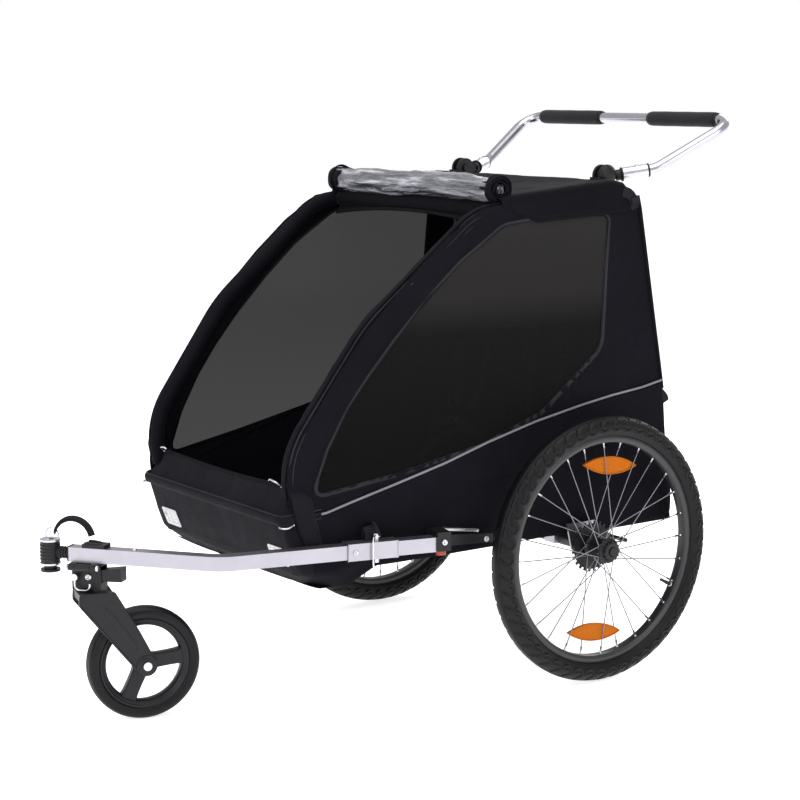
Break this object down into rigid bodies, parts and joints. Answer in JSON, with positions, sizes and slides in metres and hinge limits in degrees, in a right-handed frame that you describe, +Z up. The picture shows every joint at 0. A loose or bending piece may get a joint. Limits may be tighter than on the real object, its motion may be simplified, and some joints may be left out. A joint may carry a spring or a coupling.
{
  "type": "child bicycle trailer",
  "caption": "Two-seat child bicycle trailer with a fabric cabin on a folding frame, two spoked wheels, a tow arm with a front caster, and a push handle.",
  "frame": {"origin": "on the ground under the middle of the trailer's box", "axes": "+X the trailer's left side, +Y its rear, +Z up"},
  "size_m": [0.792, 1.3274, 1.0445],
  "materials": {
    "frame_black": "satin black powder coat",
    "bare_aluminium": "satin silver",
    "zinc_steel": "bright zinc",
    "side_fabric": "coated black polyester weave",
    "nose_fabric": "coated dark grey polyester weave",
    "roof_fabric": "coated black polyester weave",
    "window_mesh": "fine black insect mesh",
    "seat_fabric": "padded black polyester",
    "webbing": "black nylon webbing",
    "clear_pvc": "clear PVC film, rolled",
    "black_plastic": "moulded black nylon",
    "fork_plastic": "moulded dark grey nylon",
    "red_plastic": "red moulded cap",
    "reflector_white": "retroreflective silver",
    "reflector_amber": "amber prismatic",
    "tyre_rubber": "black tyre rubber",
    "rim_black": "black anodised",
    "handle_tube": "grey anodised",
    "foam_grip": "black foam"
  },
  "bodies": {
    "base": {"side_rails": "frame_black", "cross_tubes": "frame_black", "axle_tube": "frame_black", "axle_brackets": "bare_aluminium", "hub_sockets": "black_plastic", "stub_axles": "zinc_steel", "nose_panel": "nose_fabric", "nose_reflectors": "reflector_white", "floor_panel": "side_fabric", "trunk_panel": "side_fabric", "tub_walls": "side_fabric", "seat_base": "seat_fabric", "receiver": "bare_aluminium", "arm_clamp": "frame_black", "clamp_cap": "red_plastic", "tow_arm": "bare_aluminium", "hitch_coupler": "black_plastic", "coupler_plates": "bare_aluminium", "safety_strap": "webbing", "strap_clip": "black_plastic", "hinge_leaf": "frame_black"},
    "receiver_pin": {"receiver_pin": "zinc_steel"},
    "caster_bracket": {"caster_bracket": "black_plastic"},
    "caster_pin": {"caster_pin": "zinc_steel"},
    "caster_lever": {"caster_lever": "black_plastic"},
    "caster_fork": {"caster_fork": "fork_plastic", "caster_axle": "zinc_steel"},
    "caster_wheel": {"caster_rim": "fork_plastic", "caster_tyre": "tyre_rubber"},
    "left_wheel": {"tyre_left": "tyre_rubber", "rim_left": "rim_black", "spokes_left": "zinc_steel", "hub_left": "black_plastic", "bearings_left": "zinc_steel", "brake_ring_left": "black_plastic", "reflectors_left": "reflector_amber"},
    "right_wheel": {"tyre_right": "tyre_rubber", "rim_right": "rim_black", "spokes_right": "zinc_steel", "hub_right": "black_plastic", "bearings_right": "zinc_steel", "brake_ring_right": "black_plastic", "reflectors_right": "reflector_amber"},
    "left_button": {"axle_button_left": "black_plastic"},
    "right_button": {"axle_button_right": "black_plastic"},
    "brake_pedal": {"brake_pedal": "black_plastic"},
    "brake_pawls": {"brake_pawls": "zinc_steel"},
    "upper_frame": {"hoops": "frame_black", "roof_crossbars": "frame_black", "roof_panel": "roof_fabric", "rain_roll": "clear_pvc", "handle_pivots": "black_plastic", "side_windows": "window_mesh", "back_panel": "side_fabric", "seat_back": "seat_fabric"},
    "uprights": {"uprights": "frame_black"},
    "push_handle": {"handlebar": "handle_tube", "handle_eyes": "black_plastic", "handlebar_sleeves": "bare_aluminium", "handlebar_grips": "foam_grip"}
  },
  "joints": [
    {"name": "frame_fold", "type": "hinge", "parent": "base", "child": "upper_frame", "pos_m": [0, -0.299, 0.366], "axis": [-1, 0, 0], "range_deg": [0, 30], "deforming": ["side_windows", "back_panel", "seat_back"]},
    {"name": "uprights_fold", "type": "hinge", "parent": "base", "child": "uprights", "pos_m": [0, 0.493, 0.284], "axis": [1, 0, 0], "range_deg": [0, 62]},
    {"name": "handle_tilt", "type": "hinge", "parent": "upper_frame", "child": "push_handle", "pos_m": [0, 0.401, 0.928], "axis": [1, 0, 0], "range_deg": [-32, 70]},
    {"name": "receiver_pin_pull", "type": "slide", "parent": "base", "child": "receiver_pin", "axis": [0, 0, 1], "range_m": [0, 0.05]},
    {"name": "caster_stow", "type": "hinge", "parent": "base", "child": "caster_bracket", "pos_m": [0.06898, -0.61984, 0.281], "axis": [-0.7823, -0.6229, 0], "range_deg": [0, 95]},
    {"name": "caster_pin_pull", "type": "slide", "parent": "caster_bracket", "child": "caster_pin", "axis": [0.6229, -0.7823, 0], "range_m": [0, 0.03]},
    {"name": "caster_lever_press", "type": "hinge", "parent": "caster_bracket", "child": "caster_lever", "pos_m": [0.07046, -0.58798, 0.268], "axis": [-0.6229, 0.7823, 0], "range_deg": [0, 15], "stiffness_Nm_per_rad": 0.4, "springref_deg": -8.59},
    {"name": "caster_swivel", "type": "hinge", "parent": "caster_bracket", "child": "caster_fork", "pos_m": [0.05403, -0.60107, 0.24], "axis": [0, 0, 1], "continuous": true},
    {"name": "caster_spin", "type": "hinge", "parent": "caster_fork", "child": "caster_wheel", "pos_m": [0.07629, -0.5118, 0.1], "axis": [0.9703, -0.2419, 0], "continuous": true},
    {"name": "left_wheel_spin", "type": "hinge", "parent": "base", "child": "left_wheel", "pos_m": [0.3615, 0.289, 0.25], "axis": [1, 0, 0], "continuous": true},
    {"name": "right_wheel_spin", "type": "hinge", "parent": "base", "child": "right_wheel", "pos_m": [-0.3615, 0.289, 0.25], "axis": [1, 0, 0], "continuous": true},
    {"name": "left_button_press", "type": "slide", "parent": "base", "child": "left_button", "axis": [-1, 0, 0], "range_m": [0, 0.0025], "stiffness_N_per_m": 400, "springref_m": -0.002},
    {"name": "right_button_press", "type": "slide", "parent": "base", "child": "right_button", "axis": [1, 0, 0], "range_m": [0, 0.0025], "stiffness_N_per_m": 400, "springref_m": -0.002},
    {"name": "brake_pedal_press", "type": "hinge", "parent": "base", "child": "brake_pedal", "pos_m": [0, 0.323, 0.25], "axis": [-1, 0, 0], "range_deg": [0, 12]},
    {"name": "brake_pawls_slide", "type": "slide", "parent": "base", "child": "brake_pawls", "axis": [0, -1, 0], "range_m": [0, 0.006]}
  ],
  "couplings": [
    {"joint": "uprights_fold", "follows": "frame_fold", "ratio": 2.0667},
    {"joint": "brake_pawls_slide", "follows": "brake_pedal_press", "m_per_rad": 0.028645}
  ]
}
